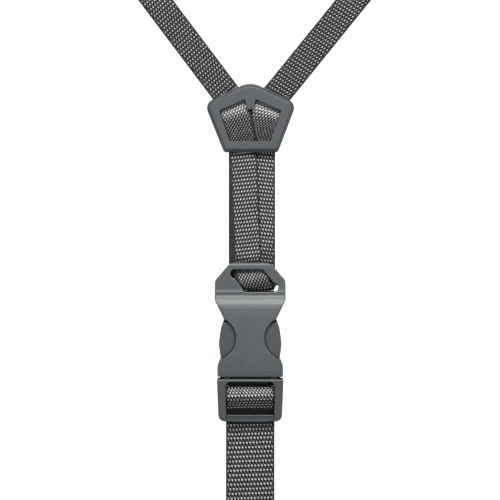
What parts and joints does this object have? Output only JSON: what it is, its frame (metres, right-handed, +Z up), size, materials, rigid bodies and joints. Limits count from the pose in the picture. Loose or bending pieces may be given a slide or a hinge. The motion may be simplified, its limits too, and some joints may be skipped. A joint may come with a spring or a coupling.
{
  "type": "harness strap with junction ring and side-release buckle",
  "caption": "Y-shaped webbing harness strap: arms meet in a five-sided guide ring, doubled riser, side-release buckle with ladder lock, wide adjustable lower strap.",
  "frame": {"origin": "centre of the bounding box at its base, on the table the strap lies on", "axes": "+Y along the strap from the wide lower end to the two arms, +Z up out of the table through the front faces of ring and buckle, +X to the right arm"},
  "size_m": [0.1565, 0.3698, 0.0108],
  "materials": {
    "webbing": "woven",
    "thread": "woven",
    "ring_plastic": "matt",
    "socket_plastic": "matt",
    "plug_plastic": "matt"
  },
  "bodies": {
    "ring": {"y_ring": "ring_plastic", "ring_webbing_left": "webbing", "ring_webbing_right": "webbing"},
    "left_arm": {"left_arm_strap": "webbing", "left_arm_eye": "webbing", "left_arm_bartacks": "thread"},
    "right_arm": {"right_arm_strap": "webbing", "right_arm_eye": "webbing", "right_arm_bartacks": "thread"},
    "riser": {"riser_front_ply": "webbing", "riser_back_ply": "webbing"},
    "socket": {"buckle_socket": "socket_plastic", "socket_webbing_loop": "webbing"},
    "plug": {"plug_frame": "plug_plastic", "plug_guide_tongue": "plug_plastic", "ladder_webbing": "webbing"},
    "left_prong": {"left_prong": "plug_plastic"},
    "right_prong": {"right_prong": "plug_plastic"},
    "lower_strap": {"strap_exit_plies": "webbing"},
    "load_end": {"load_strap": "webbing", "load_strap_eye": "webbing", "load_strap_bartacks": "thread"},
    "tail_end": {"tail_strap": "webbing", "tail_hem": "webbing", "tail_hem_stitches": "thread"}
  },
  "joints": [
    {"name": "left_arm_fold", "type": "hinge", "parent": "ring", "child": "left_arm", "pos_m": [-0.0149, 0.1041, 0.00126], "axis": [0.7986, 0.6018, 0], "range_deg": [0, 90]},
    {"name": "right_arm_fold", "type": "hinge", "parent": "ring", "child": "right_arm", "pos_m": [0.016, 0.1032, 0.00126], "axis": [0.7771, -0.6293, 0], "range_deg": [0, 90]},
    {"name": "ring_slide", "type": "slide", "parent": "ring", "child": "riser", "axis": [0, 1, 0], "range_m": [0, 0.012], "deforming": ["riser_front_ply", "riser_back_ply"]},
    {"name": "buckle_fold", "type": "hinge", "parent": "riser", "child": "socket", "pos_m": [0, 0.017, 0.00256], "axis": [-1, 0, 0], "range_deg": [0, 90]},
    {"name": "buckle_release", "type": "slide", "parent": "socket", "child": "plug", "axis": [0, -1, 0], "range_m": [0, 0.034], "deforming": ["left_prong", "right_prong"]},
    {"name": "left_prong_flex", "type": "hinge", "parent": "plug", "child": "left_prong", "pos_m": [-0.01205, -0.047, 0.0048], "axis": [0, 0, -1], "range_deg": [0, 6], "stiffness_Nm_per_rad": 0.5},
    {"name": "right_prong_flex", "type": "hinge", "parent": "plug", "child": "right_prong", "pos_m": [0.01205, -0.047, 0.0048], "axis": [0, 0, 1], "range_deg": [0, 6], "stiffness_Nm_per_rad": 0.5},
    {"name": "lower_strap_fold", "type": "hinge", "parent": "plug", "child": "lower_strap", "pos_m": [0, -0.0735, 0.00296], "axis": [-1, 0, 0], "range_deg": [0, 90]},
    {"name": "strap_adjust", "type": "slide", "parent": "lower_strap", "child": "load_end", "axis": [0, 1, 0], "range_m": [0, 0.014], "deforming": ["load_strap", "tail_strap"]},
    {"name": "tail_feed", "type": "slide", "parent": "lower_strap", "child": "tail_end", "axis": [0, -1, 0], "range_m": [0, 0.014]}
  ],
  "couplings": [
    {"joint": "tail_feed", "follows": "strap_adjust", "ratio": 1}
  ]
}
